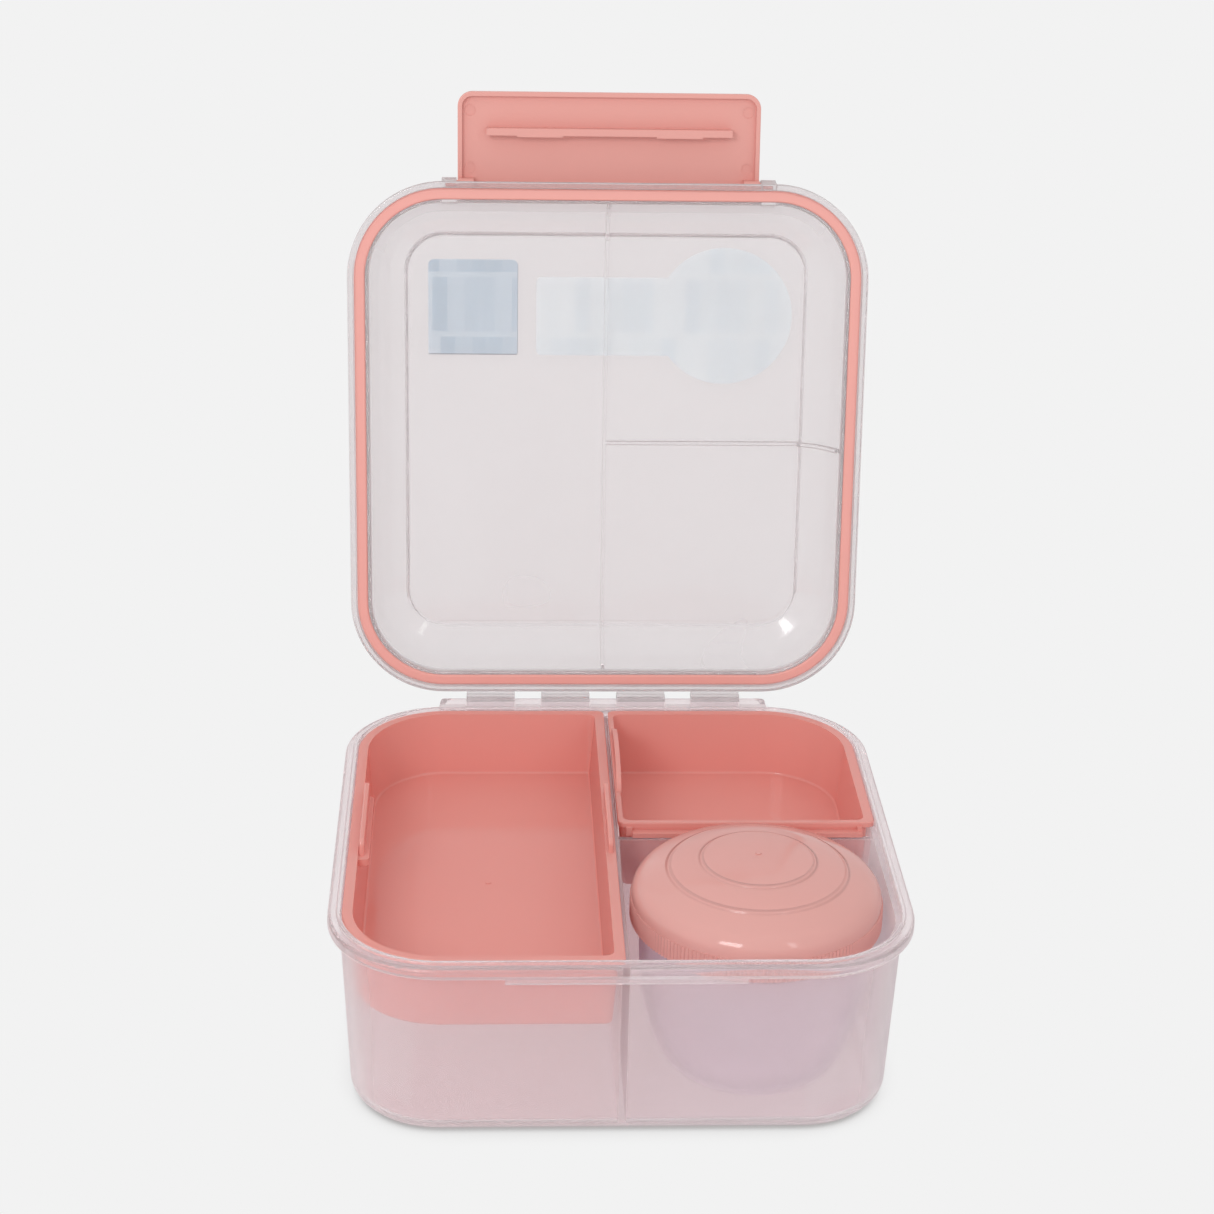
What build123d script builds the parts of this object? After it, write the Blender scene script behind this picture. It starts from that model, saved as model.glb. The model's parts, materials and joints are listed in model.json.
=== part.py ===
from build123d import *
import math
import os

# Square bento lunch box with a hinged lid, shown open: tub, lid, seal, clip, two trays and a screw-top pot.
# Millimetres, +Z up, front (the clip's side) towards -Y. The origin is the centre of the tub's underside.
# The lid and its pieces are drawn closed, then turned open about the hinge.

# Whole box
BOX = 180.0                     # over the flange, both ways
DRAFT = 2.6                     # outward lean of the tub's walls, degrees
OPEN_ANGLE = 97.6               # how far the lid swings back

# Tub
TUB_HEIGHT = 62.8               # to the top of the lip that the seal presses on
TUB_HALF = 83.6                 # half width outside, at the underside
TUB_CORNER = 27.5               # plan corner at the underside
TUB_FOOT_FILLET = 6.0
TUB_WALL = 1.8
TUB_FLOOR = 2.0
FLANGE_LOW = 58.0
FLANGE_HIGH = 61.8
FLANGE_CORNER = 35.0
LEDGE_LOW = 58.4                # the ledge inside, which the trays' rims hang on
LEDGE_HIGH = 60.0
LEDGE_HALF = 84.2
RIM_WELL_HALF = 85.9            # inside of the lip, above the ledge
LIP_OUTER_HALF = 87.4
LIP_FILLET = 0.5
MID_WALL_THICKNESS = 2.4        # wall between left and right halves
MID_WALL_TOP = 60.0
CROSS_WALL_Y = -1.0             # wall between the small tray and the pot
CROSS_WALL_TOP = 57.4
DIVIDER_FILLET = 0.5            # along the tops of both walls
CATCH_HALF_LENGTH = 36.0        # rib under the front flange, for the clip's hook
CATCH_LOW = 56.8

# Hinge
HINGE_Y = 93.6
HINGE_Z = 61.2
ROD_R = 1.5
RUNNING_FIT = 0.05              # radial clearance of a pin in its bore
KNUCKLE_R = 3.3
KNUCKLE_WIDTH = 17.2
KNUCKLE_CENTRES = (-40.25, -13.5, 13.5, 40.25)
KNUCKLE_MOUTH = 2.6             # snap-on opening, narrower than the rod
LUG_R = 1.75
LUG_END = 58.5                  # outer ends of the bracket
LUG_GAP = 0.4                   # beside each knuckle
LUG_CORNER = 4.6                # plan rounding of the bracket's outer ends

# Lid, closed
LID_HALF = 89.75
LID_CORNER = 33.0
LID_LONGER = 1.8                # the lid and seal reach this much further forward than they are wide
LID_LOW = 62.0                  # foot of the lid's skirt
LID_RIM_TOP = 66.2
LID_TOP = 81.6
DOME_STAGES = ((84.5, 63.5), (84.4, 67.6), (80.3, 73.2), (76.4, 77.0), (70.9, 79.9), (70.3, LID_TOP))
CAVITY_STAGES = ((82.7, LID_LOW), (82.6, 67.0), (78.8, 72.2), (75.1, 75.8), (69.6, 78.6), (69.3, 79.6))
STAGE_FILLET = 1.8              # on each step of the dome, inside and out
PANEL_HALF = 68.6               # shallow recess in the lid's top
PANEL_RECESS = 0.5
SEAL_OUTER_HALF = 87.5
SEAL_INNER_HALF = 83.7
SEAL_LOW = 63.1
SEAL_HIGH = 65.0
SEAL_FILLET = 0.9
GROOVE_OUTER_HALF = 87.8
GROOVE_WALL_LOW = 63.3
LID_RIB_WIDTH = 1.2
LID_RIB_DEPTH = 2.0
LID_RIB_Y = 2.0

# Clip, latched
PIVOT_Y = -90.0
PIVOT_Z = 72.4
PIVOT_PIN_R = 1.1
CLIP_HALF = 52.0
CLIP_ABOVE = 3.2                # plate above and below the pivot
CLIP_BELOW = 30.9
CLIP_PLATE_BACK = 5.6           # outer face of the plate, out from the pivot
CLIP_PLATE = 1.8
CLIP_RIM = 1.5
CLIP_RIM_FACE = 1.9             # the rim's free edge, out from the pivot
CLIP_CORNER = 5.0
CLIP_POCKET_CORNER = 3.0
BARREL_R = 1.7
BARREL_INNER = 46.5             # the barrel is only at the plate's two ends
HOOK_HALF = 42.1
HOOK_DROP = 16.5                # from the pivot down to the hook's top
HOOK_THICKNESS = 2.4
HOOK_REACH = 5.4
HOOK_PADS = ((-31.7, -16.1), (16.1, 31.9))
HOOK_PAD_RISE = 0.5
MARK_X = 47.8                   # round ejector marks in the plate's corners
MARK_DROPS = (5.1, 24.5)
MARK_R = 1.9
MARK_DEPTH = 0.3
EAR_NEAR = 52.4
EAR_FAR = 57.4
EAR_R = 2.1

# Trays
TRAY_TOP = 62.0
TRAY_BASE = 38.0
TRAY_EDGE = 85.6                # outside of the rims, along the tub's walls
TRAY_GAP = 0.15                 # from the middle plane to the large tray's rim
SMALL_TRAY_WEST = 1.3
SMALL_TRAY_SOUTH = 0.9
RIM_LOW = 60.2
RIM_OVERHANG = 1.8
NARROW_OVERHANG = 0.25          # on the small tray's sides away from the tub's walls
TRAY_WALL = 1.5
TRAY_DRAFT = 4.0
TRAY_CORNER = 30.6
TRAY_SQUARE_CORNER = 2.4        # rim corners beside the middle and cross walls
TRAY_LEAST_CORNER = 3.6         # tightest plan corner of the drafted walls
TRAY_FLOOR_FILLET = 1.6
TAB_RANGE = (-19.5, 22.3)       # the large tray's finger tabs, front to back
TAB_TOP = 66.6
TAB_THICKNESS = 1.6
TAB_WESTS = (-81.9, -2.7)       # west face of each tab
TAB_LEDGE = (-82.6, -78.8)      # ledge inside the left tab, west to east
ARCH_Y = 45.5                   # the small tray's arched tab
ARCH_HALF_LENGTH = 22.5
ARCH_HEIGHT = 7.4
REST_SPAN = (4.0, 81.4)         # bar on the small tray that stands on the cross wall
REST_HEIGHTS = (57.8, 59.3)

# Pot
POT_X = 42.6
POT_Y = -42.6
POT_BASE = 2.3
POT_WALL = 1.6
NECK_R = 34.8
MOUTH_Z = 61.5
POT_LID_LOW = 52.5
POT_LID_R = 39.0
POT_LID_TOP = 74.4
POT_SKIRT_INNER = 37.0
POT_SKIRT_TOP = 63.4
KNURL_COUNT = 180
KNURL_R = 39.5                  # crests of the fine knurl
KNURL_TOP = 59.2
POT_SEAL_R = 36.6
POT_SEAL_INNER = 32.8
THREAD_LEAD = 24.0              # rise in one whole turn, four starts
THREAD_STARTS = 4
THREAD_SPAN = 52.0              # degrees of each thread lug
THREAD_THICKNESS = 1.4

# Labels on the lid's top
LABEL_THICKNESS = 0.2
LABEL_GAP = 0.04


# %% Helpers

def outline(west, east, south, north, radii):
    """Rectangle with its own radius at each corner: south-west, south-east, north-east, north-west."""
    face = Pos((west + east) / 2, (south + north) / 2) * Rectangle(east - west, north - south)
    corners = ((west, south), (east, south), (east, north), (west, north))
    for (x, y), radius in zip(corners, radii):
        corner = face.vertices().sort_by_distance((x, y, 0))[0]
        face = fillet(corner, radius)
    return face


def slab(half, corner, low, high, taper=0.0):
    """Square block with rounded corners, from low up to high; a negative taper leans outwards."""
    face = Pos(0, 0, low) * RectangleRounded(2 * half, 2 * half, corner)
    return extrude(face, amount=high - low, taper=taper)


def brick(x_range, y_range, z_range):
    """Plain block between two values on each axis."""
    size = [high - low for low, high in (x_range, y_range, z_range)]
    middle = [(high + low) / 2 for low, high in (x_range, y_range, z_range)]
    return Pos(*middle) * Box(*size)


def rod(radius, x_range, y, z):
    """Round bar along X."""
    middle = (x_range[0] + x_range[1]) / 2
    return Pos(middle, y, z) * Rot(0, 90, 0) * Cylinder(radius, x_range[1] - x_range[0])


def soften(part, level, radius):
    """Rounds the edges at the lowest (0) or highest (-1) level of a part."""
    return fillet(part.edges().group_by(Axis.Z)[level], radius)


def tub_half_at(z):
    """Half width outside the tub's wall at a height."""
    return TUB_HALF + z * math.tan(math.radians(DRAFT))


# %% Tub

def tub_body():
    outside = slab(TUB_HALF, TUB_CORNER, 0, TUB_HEIGHT, -DRAFT)
    outside = soften(outside, 0, TUB_FOOT_FILLET)
    lower_half = tub_half_at(TUB_FLOOR) - TUB_WALL
    inside = slab(lower_half, TUB_CORNER - TUB_WALL, TUB_FLOOR, LEDGE_LOW, -DRAFT)
    inside = soften(inside, 0, TUB_FOOT_FILLET - TUB_WALL)
    ledge_corner = FLANGE_CORNER - (BOX / 2 - LEDGE_HALF)
    ledge_hole = slab(LEDGE_HALF, ledge_corner, LEDGE_LOW, LEDGE_HIGH)
    well_corner = FLANGE_CORNER - (BOX / 2 - RIM_WELL_HALF)
    rim_well = slab(RIM_WELL_HALF, well_corner, LEDGE_HIGH, TUB_HEIGHT)
    flange = slab(BOX / 2, FLANGE_CORNER, FLANGE_LOW, FLANGE_HIGH)
    flange = soften(soften(flange, -1, 1.2), 0, 0.8)
    lip_corner = FLANGE_CORNER - (BOX / 2 - LIP_OUTER_HALF)
    lip = slab(LIP_OUTER_HALF, lip_corner, FLANGE_LOW, TUB_HEIGHT)
    body = (outside + flange + lip) - inside - ledge_hole - rim_well
    return soften(body, -1, LIP_FILLET)


def tub_dividers():
    """The middle wall and the cross wall, ending inside the thickness of the tub's own walls."""
    half_mid = MID_WALL_THICKNESS / 2
    half_wall = TUB_WALL / 2
    room = slab(TUB_HALF - half_wall, TUB_CORNER - half_wall, half_wall, MID_WALL_TOP, -DRAFT)
    room = soften(room, 0, TUB_FOOT_FILLET - half_wall)
    mid = brick((-half_mid, half_mid), (-BOX, BOX), (half_wall, MID_WALL_TOP))
    mid = soften(mid, -1, DIVIDER_FILLET)
    cross = brick((0, BOX), (CROSS_WALL_Y - half_mid, CROSS_WALL_Y + half_mid), (half_wall, CROSS_WALL_TOP))
    cross = fillet(cross.edges().filter_by(Axis.X).group_by(Axis.Z)[-1], DIVIDER_FILLET)
    return (mid + cross) & room


def hinge_bracket():
    """Rod behind the rear flange, held by lugs between the lid's knuckles."""
    half = KNUCKLE_WIDTH / 2 + LUG_GAP
    edges = [-LUG_END]
    for centre in KNUCKLE_CENTRES:
        edges += [centre - half, centre + half]
    edges.append(LUG_END)
    bracket = rod(ROD_R, (-LUG_END + 3, LUG_END - 3), HINGE_Y, HINGE_Z)
    lug_z = HINGE_Z - ROD_R + LUG_R - 0.45
    for start, end in zip(edges[::2], edges[1::2]):
        lug = rod(LUG_R, (start, end), HINGE_Y, lug_z)
        web = brick((start, end), (BOX / 2 - 1.5, HINGE_Y), (HINGE_Z - 1.9, HINGE_Z + 0.25))
        bracket += lug + web
    plan = outline(-LUG_END, LUG_END, 0, HINGE_Y + LUG_R, (1.0, 1.0, LUG_CORNER, LUG_CORNER))
    return bracket & extrude(plan, amount=BOX)


def make_tub():
    catch = brick((-CATCH_HALF_LENGTH, CATCH_HALF_LENGTH), (-BOX / 2 - 0.2, -BOX / 2 + 1.1),
                  (CATCH_LOW, FLANGE_LOW + 1.2))
    return tub_body() + tub_dividers() + hinge_bracket() + catch


# %% Lid

def lid_corner(half):
    """Plan corner of every outline in the lid: all of them share the rim's corner centres."""
    return LID_CORNER - (LID_HALF - half)


def lid_slab(half, low, high, taper=0.0):
    """Block over the lid's plan, which is a little longer towards the front than it is wide."""
    plan = RectangleRounded(2 * half, 2 * half + LID_LONGER, lid_corner(half))
    return extrude(Pos(0, -LID_LONGER / 2, low) * plan, amount=high - low, taper=taper)


def stacked(stages):
    """Solid through (half width, height) pairs, with the edge at each step rounded."""
    solid = Part()
    for (half, low), (next_half, high) in zip(stages, stages[1:]):
        lean = math.degrees(math.atan2(half - next_half, high - low))
        solid += lid_slab(half, low, high, lean)
    for _, height in stages[1:-1]:
        ring = solid.edges().filter_by_position(Axis.Z, height - 0.01, height + 0.01)
        solid = fillet(ring, STAGE_FILLET)
    return solid


def lid_cavity(inset=0.0):
    """Hollow of the lid; a larger inset gives the smaller hollow left inside the ribs."""
    stages = [(half - inset / 2, height - inset) for half, height in CAVITY_STAGES]
    stages[0] = (stages[0][0], LID_LOW)
    return stacked(stages)


def lid_ribs():
    """Two thin ribs under the lid's top, over the walls between the compartments."""
    half = LID_RIB_WIDTH / 2
    long_rib = brick((-half, half), (-BOX, BOX), (LID_RIM_TOP, LID_TOP))
    short_rib = brick((0, BOX), (LID_RIB_Y - half, LID_RIB_Y + half), (LID_RIM_TOP, LID_TOP))
    skin = lid_cavity(-0.6) - lid_cavity(LID_RIB_DEPTH)
    return (long_rib + short_rib) & skin


def lid_ears():
    """Fins at the front, from the rim up the dome's side, with blind bores for the clip's pins."""
    front = -LID_HALF - LID_LONGER
    side_view = [(front + 0.4, 65.5), (PIVOT_Y - 1.9, PIVOT_Z - 0.8), (PIVOT_Y + 0.4, PIVOT_Z + 2.0),
                 (front + 8.2, 70.9), (front + 6.3, 67.5), (front + 6.3, 65.5)]
    fin = Plane.YZ * make_face(Polyline(*side_view, close=True))
    ears = Part()
    for side in (-1, 1):
        near = EAR_NEAR * side
        far = EAR_FAR * side
        span = (min(near, far), max(near, far))
        ear = Pos(span[0], 0, 0) * extrude(fin, amount=EAR_FAR - EAR_NEAR) + rod(EAR_R, span, PIVOT_Y, PIVOT_Z)
        bore_far = (EAR_FAR - 1.0) * side
        bore = rod(PIVOT_PIN_R + RUNNING_FIT, (min(near, bore_far), max(near, bore_far)), PIVOT_Y, PIVOT_Z)
        ears += ear - bore
    return ears


def lid_knuckles():
    """Snap-on hooks round the hinge rod, one strap each."""
    knuckles = Part()
    for centre in KNUCKLE_CENTRES:
        span = (centre - KNUCKLE_WIDTH / 2, centre + KNUCKLE_WIDTH / 2)
        ring = rod(KNUCKLE_R, span, HINGE_Y, HINGE_Z)
        strap = brick(span, (LID_HALF - 1.5, HINGE_Y), (HINGE_Z + 1.2, HINGE_Z + KNUCKLE_R))
        bore = rod(ROD_R + RUNNING_FIT, span, HINGE_Y, HINGE_Z)
        mouth = brick(span, (HINGE_Y - KNUCKLE_MOUTH / 2, HINGE_Y + KNUCKLE_MOUTH / 2),
                      (HINGE_Z - KNUCKLE_R - 1, HINGE_Z))
        knuckles += ring + strap - bore - mouth
    return knuckles


def make_lid_shell():
    rim = lid_slab(LID_HALF, LID_LOW, LID_RIM_TOP)
    rim = soften(soften(rim, -1, 1.1), 0, 0.5)
    dome = soften(stacked(DOME_STAGES), -1, 0.4)
    recess = lid_slab(PANEL_HALF, LID_TOP - PANEL_RECESS, LID_TOP + 1)
    groove = lid_slab(GROOVE_OUTER_HALF, LID_LOW, SEAL_HIGH)
    groove -= lid_slab(SEAL_INNER_HALF, GROOVE_WALL_LOW, SEAL_HIGH)
    shell = rim + dome - recess - groove - lid_cavity()
    return shell + lid_ribs() + lid_ears() + lid_knuckles()


def make_lid_seal():
    ring = lid_slab(SEAL_OUTER_HALF, SEAL_LOW, SEAL_HIGH)
    ring -= lid_slab(SEAL_INNER_HALF, SEAL_LOW, SEAL_HIGH)
    return soften(ring, 0, SEAL_FILLET)


# %% Clip

PLATE_FACE = PIVOT_Y - CLIP_PLATE_BACK + CLIP_PLATE     # inner face of the clip's plate


def clip_plate():
    """Plate with a raised rim all round, drawn flat and stood up with its back towards -Y."""
    top = PIVOT_Z + CLIP_ABOVE
    bottom = PIVOT_Z - CLIP_BELOW
    inner_corner = CLIP_CORNER - CLIP_RIM
    face = outline(-CLIP_HALF, CLIP_HALF, bottom, top, (CLIP_CORNER, CLIP_CORNER, 1.5, 1.5))
    pocket = outline(-CLIP_HALF + CLIP_RIM, CLIP_HALF - CLIP_RIM, bottom + CLIP_RIM, top - CLIP_RIM,
                     (inner_corner, inner_corner, CLIP_POCKET_CORNER, CLIP_POCKET_CORNER))
    stand = Pos(0, PIVOT_Y, 0) * Rot(90, 0, 0)
    body = stand * extrude(Pos(0, 0, CLIP_RIM_FACE) * face, amount=CLIP_PLATE_BACK - CLIP_RIM_FACE)
    body = fillet(body.faces().sort_by(Axis.Y)[0].edges(), 0.9)
    body = fillet(body.faces().sort_by(Axis.Y)[-1].edges(), 0.35)
    return body - stand * extrude(pocket, amount=CLIP_PLATE_BACK - CLIP_PLATE)


def clip_hook():
    """Hook along the plate, with two thicker stretches that bear on the tub's catch."""
    top = PIVOT_Z - HOOK_DROP
    y_range = (PLATE_FACE - 0.2, PLATE_FACE + HOOK_REACH)
    hook = brick((-HOOK_HALF, HOOK_HALF), y_range, (top - HOOK_THICKNESS, top))
    for stretch in HOOK_PADS:
        hook += brick(stretch, y_range, (top - 1, top + HOOK_PAD_RISE))
    return hook


def make_front_clip():
    clip = clip_plate() + clip_hook()
    pin_end = EAR_FAR - 1.3
    for side in (-1, 1):
        inner = BARREL_INNER * side
        outer = CLIP_HALF * side
        span = (min(inner, outer), max(inner, outer))
        clip += rod(BARREL_R, span, PIVOT_Y, PIVOT_Z)
        clip += brick(span, (PLATE_FACE - 0.2, PIVOT_Y), (PIVOT_Z - BARREL_R, PIVOT_Z + BARREL_R))
        tip = pin_end * side
        clip += rod(PIVOT_PIN_R, (min(inner, tip), max(inner, tip)), PIVOT_Y, PIVOT_Z)
        for drop in MARK_DROPS:
            mark = Rot(90, 0, 0) * Cylinder(MARK_R, 2 * MARK_DEPTH)
            clip -= Pos(MARK_X * side, PLATE_FACE, PIVOT_Z - drop) * mark
    return clip


# %% Trays

def tray_shell(west, east, south, north, corners, overhangs):
    """Open tray with drafted walls and an outward rim; overhangs are the rim's, in the order of the sides."""
    def block(insets, low, taper=0.0, least=TRAY_SQUARE_CORNER):
        radii = [max(radius - max(insets), least) for radius in corners]
        face = outline(west + insets[0], east - insets[1], south + insets[2], north - insets[3], radii)
        return extrude(Pos(0, 0, TRAY_TOP) * face, amount=TRAY_TOP - low, dir=(0, 0, -1), taper=taper)

    walls = block(overhangs, TRAY_BASE, TRAY_DRAFT, TRAY_LEAST_CORNER)
    walls = soften(walls, 0, TRAY_FLOOR_FILLET)
    rim = soften(block((0, 0, 0, 0), RIM_LOW), -1, 0.45)
    insets = [overhang + TRAY_WALL for overhang in overhangs]
    hollow = block(insets, TRAY_BASE + TRAY_WALL, TRAY_DRAFT, TRAY_LEAST_CORNER - 0.9)
    hollow = soften(hollow, 0, TRAY_FLOOR_FILLET - 0.8)
    return walls + rim - hollow


def side_tab(west):
    """Upright finger tab on one of the large tray's side rims."""
    plate = brick((west, west + TAB_THICKNESS), TAB_RANGE, (RIM_LOW + 0.3, TAB_TOP))
    plate = fillet(plate.edges().filter_by(Axis.X).group_by(Axis.Z)[-1], 2.2)
    return fillet(plate.faces().sort_by(Axis.Z)[-1].edges().filter_by(Axis.Y), 0.5)


def make_large_tray():
    corners = (TRAY_CORNER, TRAY_SQUARE_CORNER, TRAY_SQUARE_CORNER, TRAY_CORNER)
    overhangs = (RIM_OVERHANG, RIM_OVERHANG, RIM_OVERHANG, RIM_OVERHANG)
    tray = tray_shell(-TRAY_EDGE, -TRAY_GAP, -TRAY_EDGE, TRAY_EDGE, corners, overhangs)
    ledge_y = (TAB_RANGE[0] - 2.5, TAB_RANGE[1] - 1.0)
    ledge = brick(TAB_LEDGE, ledge_y, (58.8, TRAY_TOP - 0.8))
    ledge = fillet(ledge.edges().filter_by(Axis.Z).group_by(Axis.X)[-1], 1.8)
    gate = Pos(-41.0, 1.5, TRAY_BASE + TRAY_WALL) * Cylinder(1.0, 0.5)
    for west in TAB_WESTS:
        tray += side_tab(west)
    return tray + ledge + gate


def make_small_tray():
    """The second tray hangs on the tub's ledge behind and to the right, and stands on the cross wall in front."""
    corners = (TRAY_SQUARE_CORNER, TRAY_SQUARE_CORNER, TRAY_CORNER, TRAY_SQUARE_CORNER)
    overhangs = (NARROW_OVERHANG, RIM_OVERHANG, NARROW_OVERHANG, RIM_OVERHANG)
    south = SMALL_TRAY_SOUTH
    tray = tray_shell(SMALL_TRAY_WEST, TRAY_EDGE, south, TRAY_EDGE, corners, overhangs)
    west, east = REST_SPAN
    rest = brick((west + 2.0, east), (-1.6, south + 1.2), REST_HEIGHTS)
    for span in ((west, west + 2.0), (east - 1.6, east)):
        rest += brick(span, (-0.2, south + 1.2), (REST_HEIGHTS[0], RIM_LOW + 0.5))
    oval = Pos(ARCH_Y, RIM_LOW + 1.0) * Ellipse(ARCH_HALF_LENGTH, ARCH_HEIGHT)
    arch = Pos(SMALL_TRAY_WEST + 0.5, 0, 0) * extrude(Plane.YZ * oval, amount=TAB_THICKNESS)
    arch = arch & brick((0, BOX), (0, BOX), (RIM_LOW + 0.3, BOX))
    return tray + rest + arch


# %% Pot

def around_pot(edges):
    """Solid of revolution about the pot's axis from connected edges drawn as (radius, height)."""
    profile = make_face(Curve() + edges)
    return Pos(POT_X, POT_Y, 0) * revolve(Plane.XZ * profile, Axis.Z)


def thread_lugs(inner_r, outer_r, height):
    """Short stretches of a four-start thread that climb with the thread's lead."""
    rise = THREAD_LEAD * THREAD_SPAN / 360.0
    helix = Helix(pitch=THREAD_LEAD, height=rise, radius=(inner_r + outer_r) / 2)
    start_plane = Plane(helix @ 0, x_dir=(1, 0, 0), z_dir=helix % 0)
    lug = sweep(start_plane * Rectangle(outer_r - inner_r, THREAD_THICKNESS), helix, is_frenet=True)
    lugs = Part()
    for start in range(THREAD_STARTS):
        lugs += Pos(POT_X, POT_Y, height) * Rot(0, 0, start * 360.0 / THREAD_STARTS) * lug
    return lugs


def knurled_ring():
    """Fine upright knurl round the foot of the pot lid's skirt, as one many-sided ring."""
    points = []
    for index in range(2 * KNURL_COUNT):
        radius = KNURL_R if index % 2 == 0 else POT_LID_R
        angle = math.pi * index / KNURL_COUNT
        points.append((POT_X + radius * math.cos(angle), POT_Y + radius * math.sin(angle)))
    ring = make_face(Polyline(*points, close=True)) - Pos(POT_X, POT_Y) * Circle(POT_LID_R - 0.6)
    return extrude(Pos(0, 0, POT_LID_LOW) * ring, amount=KNURL_TOP - POT_LID_LOW)


def make_pot_cup():
    outer = Spline((23.0, POT_BASE), (29.6, 9.0), (34.4, 24.0), (36.4, 49.0),
                   tangents=((1, 0.35), (0.02, 1)))
    inner = Spline((34.8, 49.6), (32.8, 24.4), (28.2, 10.4), (21.0, 4.4), tangents=((-0.02, -1), (-1, -0.3)))
    neck_inner = NECK_R - POT_WALL
    edges = [outer, Polyline(outer @ 1, (36.4, 50.2), (NECK_R, 51.2), (NECK_R, MOUTH_Z)),
             Polyline((NECK_R, MOUTH_Z), (neck_inner, MOUTH_Z), (neck_inner, 51.4), inner @ 0),
             inner, Polyline(inner @ 1, (0, 4.4), (0, 3.2), (20.6, 3.2), (21.0, POT_BASE), outer @ 0)]
    return around_pot(edges) + thread_lugs(NECK_R - 0.3, 36.4, 56.0)


def make_pot_lid():
    """Domed cap with two raised discs, a rounded shoulder and a knurled, threaded skirt."""
    crown = Spline((0, POT_LID_TOP), (9.0, 74.05), (17.2, 72.95), tangents=((1, 0), (1, -0.16)))
    middle = Spline((18.4, 72.25), (23.0, 71.3), (27.2, 69.95))
    shoulder = Spline((28.5, 69.15), (33.2, 67.3), (36.6, 65.3), (38.4, 62.9), (POT_LID_R, 59.4),
                      tangents=((1, -0.36), (0, -1)))
    inside = Polyline((POT_LID_R, POT_LID_LOW), (POT_SKIRT_INNER, POT_LID_LOW), (POT_SKIRT_INNER, POT_SKIRT_TOP),
                      (32.6, POT_SKIRT_TOP), (32.6, 65.3), (31.2, 66.3), (26.4, 68.3), (17.0, 71.2), (0, 72.8))
    edges = [crown, Line(crown @ 1, middle @ 0), middle, Line(middle @ 1, shoulder @ 0), shoulder,
             Line(shoulder @ 1, inside @ 0), inside, Line(inside @ 1, crown @ 0)]
    nub = Pos(POT_X, POT_Y, POT_LID_TOP) * Cylinder(0.9, 0.8)
    return around_pot(edges) + knurled_ring() + nub + thread_lugs(35.3, POT_SKIRT_INNER + 0.3, 54.1)


def make_pot_seal():
    low = MOUTH_Z + 0.1
    high = POT_SKIRT_TOP - 0.1
    ring = Cylinder(POT_SEAL_R, high - low) - Cylinder(POT_SEAL_INNER, high - low)
    return Pos(POT_X, POT_Y, (low + high) / 2) * ring


# %% Labels

def label_slab(face):
    low = LID_TOP - PANEL_RECESS + LABEL_GAP
    return extrude(Pos(0, 0, low) * face, amount=LABEL_THICKNESS)


def make_label_square():
    return label_slab(outline(-62.4, -31.2, -62.7, -29.5, (2.0, 2.0, 0.5, 0.5)))


def make_label_keyhole():
    bar = outline(-24.5, 41.6, -56.7, -29.1, (2.0, 2.0, 2.0, 2.0))
    disc = Pos(41.6, -43.3) * Circle(24.1)
    return label_slab(bar + disc)


# %% Place and write

HINGE_AXIS = Axis((0, HINGE_Y, HINGE_Z), (1, 0, 0))
PIVOT_AXIS = Axis((0, PIVOT_Y, PIVOT_Z), (1, 0, 0))


def opened(part):
    """Swings a piece of the closed lid back to where it rests open."""
    return part.rotate(HINGE_AXIS, -OPEN_ANGLE)


def main():
    nodes = {
        "tub": make_tub(),
        "lid_shell": opened(make_lid_shell()),
        "lid_seal": opened(make_lid_seal()),
        "label_square": opened(make_label_square()),
        "label_keyhole": opened(make_label_keyhole()),
        "front_clip": opened(make_front_clip().rotate(PIVOT_AXIS, -90)),
        "large_tray": make_large_tray(),
        "small_tray": make_small_tray(),
        "pot_cup": make_pot_cup(),
        "pot_lid": make_pot_lid(),
        "pot_seal": make_pot_seal(),
    }
    os.makedirs("parts", exist_ok=True)
    for name, part in nodes.items():
        export_step(part, f"parts/{name}.step")
        print(name, round(part.volume), len(part.solids()), part.bounding_box().min, part.bounding_box().max)


if __name__ == "__main__":
    main()
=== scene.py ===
# %% [markdown]
# # A bento lunch box, dressed in Blender
# The shapes come from a CAD model that is already packed into named nodes and moving bodies. This file
# loads that frame, gives every surface its finish, adds the few things that only matter to the eye, and
# sets a plain product shot around it. Everything is in metres, and the front of the box faces -Y.

# %% Load the frame
import json
import math
import bpy
from mathutils import Matrix, Vector


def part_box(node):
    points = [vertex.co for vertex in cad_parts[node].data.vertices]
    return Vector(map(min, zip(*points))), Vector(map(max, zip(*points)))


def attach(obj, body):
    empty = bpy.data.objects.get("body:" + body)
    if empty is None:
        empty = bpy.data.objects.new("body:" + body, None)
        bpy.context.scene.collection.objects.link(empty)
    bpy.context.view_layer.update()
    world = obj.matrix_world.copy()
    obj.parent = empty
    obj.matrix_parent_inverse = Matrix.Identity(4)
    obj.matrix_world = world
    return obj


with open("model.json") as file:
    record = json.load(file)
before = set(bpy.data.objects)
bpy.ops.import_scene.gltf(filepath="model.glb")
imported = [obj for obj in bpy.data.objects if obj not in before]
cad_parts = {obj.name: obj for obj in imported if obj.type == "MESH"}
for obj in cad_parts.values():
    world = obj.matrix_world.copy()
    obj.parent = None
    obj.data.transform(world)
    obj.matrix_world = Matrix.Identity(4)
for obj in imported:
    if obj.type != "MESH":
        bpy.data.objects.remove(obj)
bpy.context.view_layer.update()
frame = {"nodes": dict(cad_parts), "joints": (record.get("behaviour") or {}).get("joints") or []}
MM = 0.001

# %% [markdown]
# Colours are written as sRGB hex values, the way a paint chart gives them. Cycles works in linear
# light, so one function turns a hex value into linear numbers, with the sRGB standard's own curve. A
# second function adds a shader node, sets its inputs and wires its links in one line, so that each
# material reads as a recipe.

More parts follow.
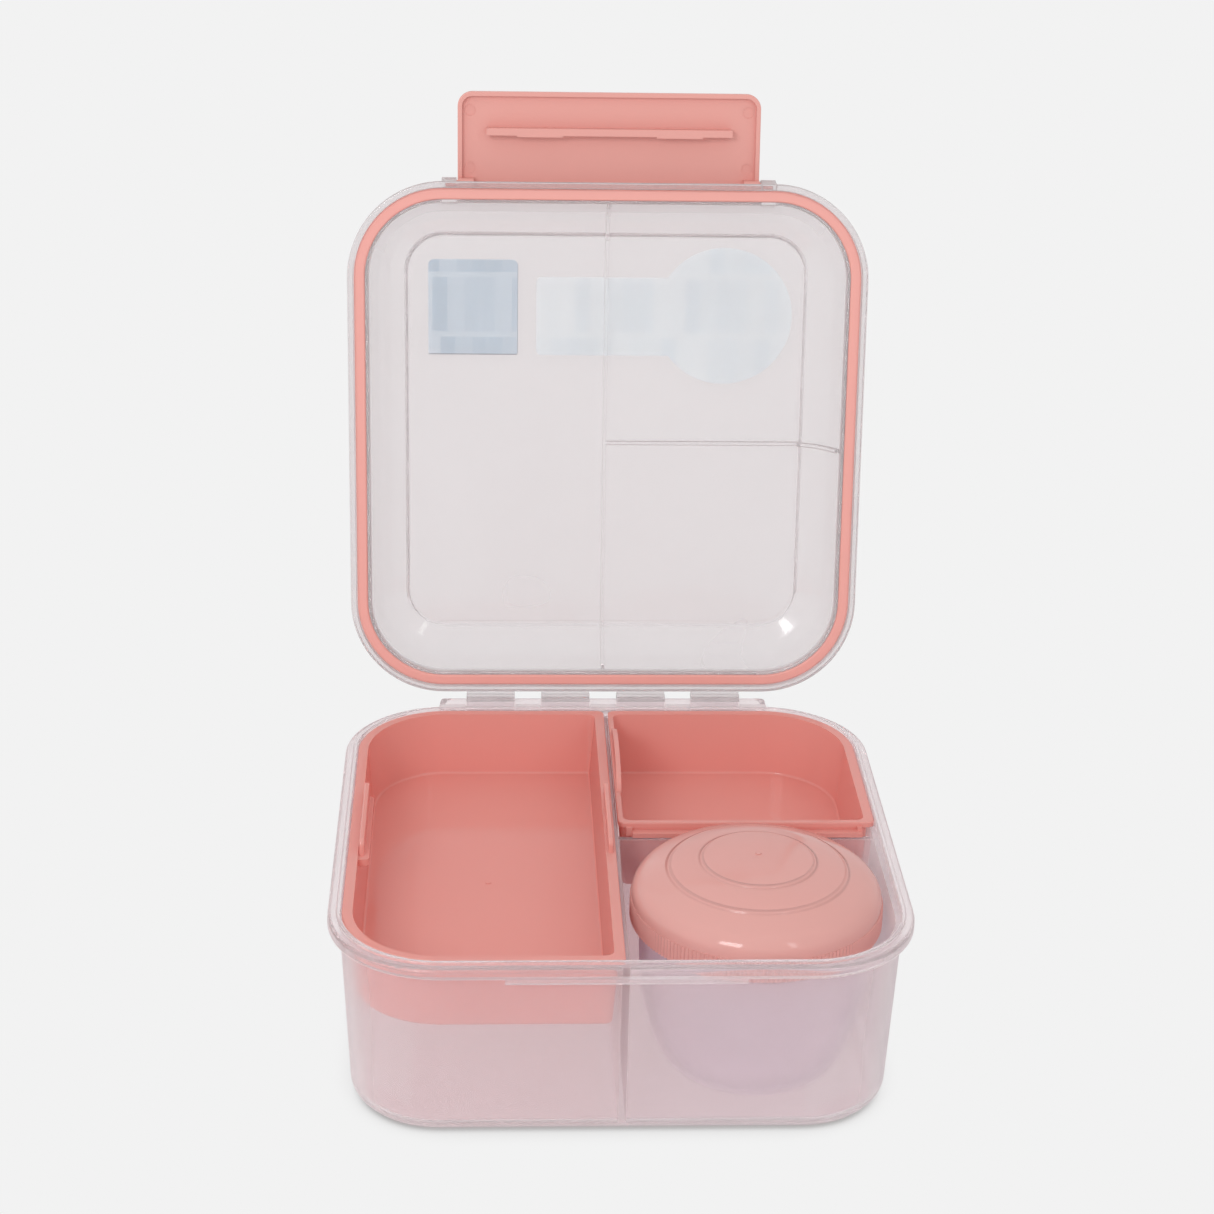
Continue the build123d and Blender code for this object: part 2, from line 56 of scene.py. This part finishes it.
# %% Colour and node helpers
def linear(hex_value):
    """sRGB hex text such as 'E8A097' to a linear, fully opaque RGBA tuple."""
    channels = [int(hex_value[i:i + 2], 16) / 255 for i in (0, 2, 4)]
    curve = [c / 12.92 if c <= 0.04045 else ((c + 0.055) / 1.055) ** 2.4 for c in channels]
    return (*curve, 1.0)


def add(tree, kind, links=None, settings=None, **inputs):
    """Adds a node of a kind. Links say what feeds a socket, settings are the node's own options, and
    inputs are its socket values."""
    made = tree.nodes.new(kind)
    for name, value in (settings or {}).items():
        setattr(made, name, value)
    for name, value in inputs.items():
        made.inputs[name.replace("_", " ")].default_value = value
    for name, source in (links or {}).items():
        tree.links.new(source, made.inputs[name])
    return made


def blank_material(name):
    """An empty node material and its tree."""
    material = bpy.data.materials.new(name)
    material.use_nodes = True
    material.node_tree.nodes.clear()
    return material, material.node_tree


print("linear mid grey", linear("808080"))

# %% [markdown]
# The camera looks down at the open box from just left of centre with a short telephoto lens, which
# keeps the square tub nearly square. It is aimed at the middle of the open box, half way up its height,
# and leans a little.

# %% Camera
AIM = Vector((-3.9, 0.0, 139.1)) * MM
DISTANCE = 814.6 * MM
YAW = math.radians(-2.84)
PITCH = math.radians(23.33)
ROLL = math.radians(1.25)
LENS = 76.9                             # millimetres, on a sensor 36 mm wide

forward = Vector((-math.sin(YAW) * math.cos(PITCH), math.cos(YAW) * math.cos(PITCH), -math.sin(PITCH)))
level_right = Vector((math.cos(YAW), math.sin(YAW), 0.0))
level_up = level_right.cross(forward)
right = math.cos(ROLL) * level_right + math.sin(ROLL) * level_up
up = -math.sin(ROLL) * level_right + math.cos(ROLL) * level_up

camera = bpy.data.objects.new("camera", bpy.data.cameras.new("camera"))
camera.data.lens = LENS
camera.data.sensor_width = 36.0
camera.data.clip_start = 0.01
turn = Matrix((right, up, -forward)).transposed().to_4x4()
camera.matrix_world = Matrix.Translation(AIM - DISTANCE * forward) @ turn
bpy.context.scene.collection.objects.link(camera)
bpy.context.scene.camera = camera
print("camera at", [round(v, 3) for v in camera.matrix_world.translation])

# %% [markdown]
# The box stands on a plain pale sweep: a floor that curves up into a backdrop, so that no horizon shows. In a
# catalogue picture the paper is lit until it is one flat tone, and all that is left of the shadow is the dark
# line where the box touches it. So the paper glows evenly, and the shadow is painted: only the crevice beside
# the box is darkened, by how shut in it is. Right under the box it is light again, and a little pink, a
# painted glow for the light that comes down through the translucent tub.

# %% Sweep
CONTACT_REACH = 0.016                   # how far from the box the paper darkens
# Painted shade: these tones are a painted contact shadow beside the box and a painted pinkish glow right under
# it, not the paper's own colour.
PAINTED_SHADOW_AND_GLOW_TONES = (                         # how open the paper lies, from shut in to free, and its tone
    (0.04, "D2C0C3"), (0.12, "A39F9F"), (0.24, "B8B6B6"), (0.38, "E0DFDF"), (0.62, "F2F2F2"),
)


def sweep_mesh(half_width, front, back, radius, height, steps=24):
    """Floor, quarter-round and wall as one strip of quads."""
    side = [(front, 0.0)]
    for i in range(steps + 1):
        angle = math.radians(90 * i / steps)
        side.append((back - radius + radius * math.sin(angle), radius - radius * math.cos(angle)))
    side.append((back, height))
    points = [(x, y, z) for y, z in side for x in (-half_width, half_width)]
    faces = [(2 * i, 2 * i + 1, 2 * i + 3, 2 * i + 2) for i in range(len(side) - 1)]
    mesh = bpy.data.meshes.new("sweep")
    mesh.from_pydata(points, [], faces)
    mesh.polygons.foreach_set("use_smooth", [True] * len(faces))
    return mesh


def paper_material():
    """Evenly lit white paper, with a painted shadow only where something stands close over it, and a painted
    pink glow right under it.
    """
    material, tree = blank_material("white_paper_painted_shadow")
    near = add(tree, "ShaderNodeAmbientOcclusion", settings={"samples": 12}, Distance=CONTACT_REACH)
    # Painted shadow: the glow's tone follows how shut in the paper is, not a cast shadow.
    ramp = add(tree, "ShaderNodeValToRGB", {"Fac": near.outputs["AO"]})
    stops = ramp.color_ramp.elements
    stops[0].position = PAINTED_SHADOW_AND_GLOW_TONES[0][0]
    stops[1].position = PAINTED_SHADOW_AND_GLOW_TONES[-1][0]
    for openness, tone in PAINTED_SHADOW_AND_GLOW_TONES[1:-1]:
        stops.new(openness)
    for stop, (openness, tone) in zip(stops, PAINTED_SHADOW_AND_GLOW_TONES):
        stop.color = linear(tone)
    glow = add(tree, "ShaderNodeEmission", {"Color": ramp.outputs["Color"]}, Strength=1.0)
    add(tree, "ShaderNodeOutputMaterial", {"Surface": glow.outputs[0]})
    return material


paper_mesh = sweep_mesh(half_width=4.0, front=-4.0, back=3.0, radius=0.8, height=4.0)
sweep = bpy.data.objects.new("sweep", paper_mesh)
sweep.data.materials.append(paper_material())
bpy.context.scene.collection.objects.link(sweep)
bpy.context.scene.view_settings.view_transform = "Standard"
print("sweep has", len(sweep.data.polygons), "faces")

# %% [markdown]
# The light is a soft key high up in front and to the left, a weak tall box in front and to the right
# that gives the second streak on the pot's lid, and a pale room that is dimmer to the right. The walls
# of the trays that face right are then the darkest, and their colour deepens, because most of their
# light has already bounced off pink.

# %% Light
def pale_room(left, right):
    """World that falls from one brightness on the left to another on the right."""
    world = bpy.data.worlds.new("pale_room")
    world.use_nodes = True
    tree = world.node_tree
    direction = add(tree, "ShaderNodeTexCoord").outputs["Generated"]
    split = add(tree, "ShaderNodeSeparateXYZ", {"Vector": direction})
    level = add(tree, "ShaderNodeMapRange", {"Value": split.outputs["X"]}, From_Min=-1.0,
                From_Max=1.0, To_Min=left, To_Max=right)
    background = tree.nodes["Background"]
    background.inputs["Color"].default_value = linear("F4F3F2")
    tree.links.new(level.outputs[0], background.inputs["Strength"])
    return world


def softbox(name, place, aim, width, height, watts):
    """Rectangular area light turned towards a point."""
    light = bpy.data.lights.new(name, "AREA")
    light.shape = "RECTANGLE"
    light.size = width
    light.size_y = height
    light.energy = watts
    holder = bpy.data.objects.new(name, light)
    holder.location = place
    holder.rotation_euler = (Vector(aim) - Vector(place)).to_track_quat("-Z", "Y").to_euler()
    bpy.context.scene.collection.objects.link(holder)


bpy.context.scene.world = pale_room(left=1.0, right=0.80)
softbox("key_softbox", (-0.55, -1.15, 0.85), (0, 0, 0.05), width=0.45, height=0.35, watts=5.0)
softbox("fill_softbox", (0.62, -1.05, 0.80), (0, 0, 0.08), width=0.12, height=0.50, watts=0.8)
print("lights", [item.name for item in bpy.data.lights])

# %% [markdown]
# ## Frosted polypropylene
# The tub, the lid and the pot's cup are natural polypropylene, injection moulded against a lightly
# etched tool. The bulk is milky and the skin is faintly rough, so it glows, blurs what is behind it and
# has soft highlights. A transmissive shader carries the see-through part, a diffuse and a translucent
# shader carry the milkiness, and rays from the lamps pass straight through so that the food space isn't
# left dark. Flow marks from the gate make the milkiness a little uneven, over centimetres. Seen edge-on
# there is more plastic to look through, so the milkiness rises towards the silhouette, which is why the
# rims of such boxes look white.

# %% Frosted polypropylene
POLYPROPYLENE_IOR = 1.49
EDGE_MILKINESS = 0.70                   # how much milkier the plastic looks edge-on
FLOW_SPREAD = 0.05                      # how far flow marks move the milkiness up or down
ONWARD_SHARE = 0.4                      # share of the milkiness that scatters light onward, not back


def frosted_material(name, tint, milk, haze, roughness, passes):
    """Natural polypropylene: tint of the clear part, colour and share of milkiness, skin roughness, and what
    lamps' rays keep."""
    material, tree = blank_material(name)
    place = add(tree, "ShaderNodeTexCoord").outputs["Object"]
    flow = add(tree, "ShaderNodeTexNoise", {"Vector": place}, Scale=14.0, Detail=2.0, Distortion=0.6)
    share = add(tree, "ShaderNodeMapRange", {"Value": flow.outputs["Fac"]}, To_Min=haze - FLOW_SPREAD,
                To_Max=haze + FLOW_SPREAD)
    edge_on = add(tree, "ShaderNodeLayerWeight", Blend=0.35).outputs["Facing"]
    thicker = add(tree, "ShaderNodeMapRange", {"Value": edge_on}, {"interpolation_type": "SMOOTHSTEP"},
                  From_Min=0.25, From_Max=0.85, To_Min=0.0, To_Max=EDGE_MILKINESS)
    total = add(tree, "ShaderNodeMath", {0: share.outputs[0], 1: thicker.outputs[0]}, {"operation": "ADD"})
    clear = add(tree, "ShaderNodeBsdfPrincipled", Base_Color=linear(tint), Roughness=roughness,
                IOR=POLYPROPYLENE_IOR, Transmission_Weight=1.0)
    front = add(tree, "ShaderNodeBsdfDiffuse", Color=linear(milk))
    through = add(tree, "ShaderNodeBsdfTranslucent", Color=linear(milk))
    milky = add(tree, "ShaderNodeMixShader", {1: front.outputs[0], 2: through.outputs[0]}, Fac=ONWARD_SHARE)
    body = add(tree, "ShaderNodeMixShader", {0: total.outputs[0], 1: clear.outputs[0], 2: milky.outputs[0]})
    lamp_ray = add(tree, "ShaderNodeLightPath").outputs["Is Shadow Ray"]
    let_by = add(tree, "ShaderNodeBsdfTransparent", Color=linear(passes))
    surface = add(tree, "ShaderNodeMixShader", {0: lamp_ray, 1: body.outputs[0], 2: let_by.outputs[0]})
    add(tree, "ShaderNodeOutputMaterial", {"Surface": surface.outputs[0]})
    return material


frosted = frosted_material("frosted_polypropylene", tint="F7F1F2", milk="E9E2E4", haze=0.24, roughness=0.13,
                           passes="EEE4E5")
frosted_lid = frosted_material("frosted_lid_polypropylene", tint="F6F3F4", milk="DAD6D7", haze=0.30,
                               roughness=0.10, passes="EAE6E7")
frosted_cup = frosted_material("frosted_cup_polypropylene", tint="F6F3F8", milk="EBE7F0", haze=0.32,
                               roughness=0.18, passes="EEEAF0")
print("frosted", [item.name for item in (frosted, frosted_lid, frosted_cup)])

# %% [markdown]
# ## Pink polypropylene
# The trays and the clip are the same polymer with a pink masterbatch. It is nearly opaque, but a 1.5 mm
# wall still lets some deep pink light through, which tints the space under the trays. The trays' mould
# is polished, so their floors mirror the walls; the clip's is satin. The pot's lid has two low rings,
# which the CAD model steps by less than a millimetre. A bump round the lid's axis rounds them and makes
# them read more clearly.

# %% Pink polypropylene
lid_low, lid_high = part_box("pot_lid")
POT_AXIS = [(lid_low[i] + lid_high[i]) / 2 for i in (0, 1)]
RING_RADII = (0.0178, 0.0279)
RING_WIDTH = 0.0022
RING_HEIGHT = 0.0006


def pigmented_material(name, colour, roughness, glow, passes, height=None):
    """Pigmented plastic or silicone: colour, skin roughness, share of light let through, what lamps' rays
    keep, and a function that adds the height of any moulded relief."""
    material, tree = blank_material(name)
    place = add(tree, "ShaderNodeTexCoord").outputs["Object"]
    cloud = add(tree, "ShaderNodeTexNoise", {"Vector": place}, Scale=40.0, Detail=3.0)
    gloss = add(tree, "ShaderNodeMapRange", {"Value": cloud.outputs["Fac"]}, To_Min=roughness * 0.8,
                To_Max=roughness * 1.2)
    skin = add(tree, "ShaderNodeTexNoise", {"Vector": place}, Scale=2500.0, Detail=1.0)
    bump = add(tree, "ShaderNodeBump", {"Height": skin.outputs["Fac"]}, Strength=roughness * 0.25,
               Distance=0.0001)
    if height:
        relief = height(tree, place)
        bump = add(tree, "ShaderNodeBump", {"Height": relief, "Normal": bump.outputs["Normal"]},
                   Strength=1.0, Distance=RING_HEIGHT)
    solid = add(tree, "ShaderNodeBsdfPrincipled",
                {"Roughness": gloss.outputs[0], "Normal": bump.outputs[0]}, Base_Color=linear(colour),
                IOR=POLYPROPYLENE_IOR)
    through = add(tree, "ShaderNodeBsdfTranslucent", Color=linear(colour))
    body = add(tree, "ShaderNodeMixShader", {1: solid.outputs[0], 2: through.outputs[0]}, Fac=glow)
    lamp_ray = add(tree, "ShaderNodeLightPath").outputs["Is Shadow Ray"]
    let_by = add(tree, "ShaderNodeBsdfTransparent", Color=linear(passes))
    surface = add(tree, "ShaderNodeMixShader", {0: lamp_ray, 1: body.outputs[0], 2: let_by.outputs[0]})
    add(tree, "ShaderNodeOutputMaterial", {"Surface": surface.outputs[0]})
    return material


def ring_relief(tree, place):
    """Two low rounded rings on the pot's lid, from the distance to its axis."""
    from_axis = add(tree, "ShaderNodeVectorMath", {0: place}, {"operation": "SUBTRACT"})
    from_axis.inputs[1].default_value = (POT_AXIS[0], POT_AXIS[1], 0.0)
    flat = add(tree, "ShaderNodeVectorMath", {0: from_axis.outputs[0]}, {"operation": "MULTIPLY"})
    flat.inputs[1].default_value = (1.0, 1.0, 0.0)
    length_of = add(tree, "ShaderNodeVectorMath", {0: flat.outputs[0]}, {"operation": "LENGTH"})
    distance = length_of.outputs["Value"]
    heights = []
    for radius in RING_RADII:
        offset = add(tree, "ShaderNodeMath", {0: distance}, {"operation": "SUBTRACT"})
        offset.inputs[1].default_value = radius
        away = add(tree, "ShaderNodeMath", {0: offset.outputs[0]}, {"operation": "ABSOLUTE"})
        heights.append(add(tree, "ShaderNodeMapRange", {"Value": away.outputs[0]},
                           {"interpolation_type": "SMOOTHSTEP"}, From_Min=0.0, From_Max=RING_WIDTH / 2,
                           To_Min=1.0, To_Max=0.0).outputs[0])
    return add(tree, "ShaderNodeMath", {0: heights[0], 1: heights[1]}, {"operation": "ADD"}).outputs[0]


tray_pink = pigmented_material("polished_pink_polypropylene", "F1B1A8", roughness=0.05, glow=0.30,
                               passes="B05A50")
clip_pink = pigmented_material("satin_pink_polypropylene", "EAA9A0", roughness=0.34, glow=0.08,
                               passes="5A2420")
pot_lid_pink = pigmented_material("pale_pink_polypropylene", "EDB8B1", roughness=0.09, glow=0.25,
                                  passes="B87068", height=ring_relief)
silicone = pigmented_material("pink_silicone", "F5B2A9", roughness=0.42, glow=0.12, passes="6A2C28")
print("pot axis at", [round(v / MM, 1) for v in POT_AXIS])

# %% [markdown]
# ## Labels
# Two blank labels are stuck on the outside of the lid, and show through it from inside. The film is pale, with
# faint tonal blocks. Behind the hazy lid it would look too grey, so it is given a painted glow, a little
# emission that the film itself doesn't have.

# %% Label film
def label_material(name, colour, darker, painted_glow):
    """Blank pale film, faintly banded, that lets some light through, with a painted glow added to brighten it.
    """
    material, tree = blank_material(name)
    place = add(tree, "ShaderNodeTexCoord").outputs["Object"]
    blocks = add(tree, "ShaderNodeTexBrick", {"Vector": place}, Scale=90.0, Mortar_Size=0.012,
                 Color1=linear(colour), Color2=linear(darker), Mortar=linear(colour))
    paper = add(tree, "ShaderNodeBsdfPrincipled", {"Base Color": blocks.outputs["Color"]}, Roughness=0.4,
                IOR=1.5)
    through = add(tree, "ShaderNodeBsdfTranslucent", {"Color": blocks.outputs["Color"]})
    film = add(tree, "ShaderNodeMixShader", {1: paper.outputs[0], 2: through.outputs[0]}, Fac=0.45)
    # Painted glow: an emission that brightens the film though it is no lamp.
    painted_glow_shader = add(tree, "ShaderNodeEmission", {"Color": blocks.outputs["Color"]}, Strength=painted_glow)
    surface = add(tree, "ShaderNodeAddShader", {0: film.outputs[0], 1: painted_glow_shader.outputs[0]})
    add(tree, "ShaderNodeOutputMaterial", {"Surface": surface.outputs[0]})
    return material


# Both films are given a small painted glow, an emission, so that they don't look grey behind the lid.
keyhole_film = label_material("white_label_film", "EDF4F5", "E4EEF1", painted_glow=0.20)
square_film = label_material("pale_blue_label_film", "E0EDF3", "C2D9E4", painted_glow=0.16)
print("films", keyhole_film.name, "and", square_film.name)

# %% [markdown]
# Through the lid, the square label's lower and right edges show as thin dark lines of shade, where the film is
# cut. The shade is painted: two thin dark strips that lie beside the label and move with the lid.

# %% Painted shade along a label's cut edge
LINE_WIDTH = 0.00035
SIDE_LINE_WIDTH = LINE_WIDTH * 0.5
LINE_DEPTH = 0.0001
LINE_GAP = 0.00005                      # between the label and its line
SIDE_LINE_SHARE = 0.96                  # how much of the label's height the side line runs
# Painted shade: a dark blue grey that stands in for the shade along the label's cut edge.
cut_edge_shade_paint = pigmented_material("painted_cut_edge_shade", "6F7E93", roughness=0.5, glow=0.0, passes="303840")


def strip(name, start, end, across, thickness):
    """Flat bar from start to end, as wide as the vector across and as thick as the vector thickness."""
    corners = [start, end, end + across, start + across]
    points = corners + [corner + thickness for corner in corners]
    faces = [(3, 2, 1, 0), (4, 5, 6, 7), (0, 1, 5, 4), (1, 2, 6, 5), (2, 3, 7, 6), (3, 0, 4, 7)]
    mesh = bpy.data.meshes.new(name)
    mesh.from_pydata(points, [], faces)
    mesh.materials.append(cut_edge_shade_paint)
    bar = bpy.data.objects.new(name, mesh)
    bpy.context.scene.collection.objects.link(bar)
    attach(bar, "lid")


print("line is", LINE_WIDTH / MM, "mm wide")

# %% [markdown]
# The label leans back with the open lid, so the strips are placed along the label's own two directions.
# Those follow from how far the lid's hinge opens, and the label's own corners say where its foot and
# its top are.

# %% Painted shade along the square label's two cut edges
hinge = next(joint for joint in frame["joints"] if joint["name"] == "lid_hinge")
opened_by = math.radians(abs(hinge["range_deg"][0]))
upward = Vector((0.0, -math.cos(opened_by), math.sin(opened_by)))      # from the hinge towards the clip
outward = Vector((0.0, math.sin(opened_by), math.cos(opened_by)))      # out of the lid's top
label_low, label_high = [Vector(corner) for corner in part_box("label_square")]
label_corners = [vertex.co.copy() for vertex in frame["nodes"]["label_square"].data.vertices]
foot = min(corner.dot(upward) for corner in label_corners) * upward
foot += min(corner.dot(outward) for corner in label_corners) * outward
length = max(corner.dot(upward) for corner in label_corners) - foot.dot(upward)
west = Vector((label_low[0], 0.0, 0.0)) + foot
east = Vector((label_high[0], 0.0, 0.0)) + foot
beside = east + Vector((LINE_GAP, 0.0, 0.0))
below = -upward * LINE_GAP
deep = outward * LINE_DEPTH
strip("label_foot_shade_line", west + below, east + below, -upward * LINE_WIDTH, deep)
strip("label_side_shade_line", beside, beside + upward * length * SIDE_LINE_SHARE,
      Vector((SIDE_LINE_WIDTH, 0.0, 0.0)), deep)
print("label is", round(length / MM, 1), "mm tall")

# %% [markdown]
# Each CAD node is one moulded or cut piece, so each gets exactly one finish. The tub, the lid and the pot's
# cup each have a frosted recipe of their own, since they differ a little in haze and in tone.

# %% Dress the CAD nodes
FINISHES = {
    "tub": frosted, "lid_shell": frosted_lid, "pot_cup": frosted_cup,
    "large_tray": tray_pink, "small_tray": tray_pink, "front_clip": clip_pink,
    "pot_lid": pot_lid_pink, "lid_seal": silicone, "pot_seal": silicone,
    "label_square": square_film, "label_keyhole": keyhole_film,
}
for node_name, finish in FINISHES.items():
    mesh = frame["nodes"][node_name].data
    mesh.materials.clear()
    mesh.materials.append(finish)
print("dressed", len(FINISHES), "nodes")
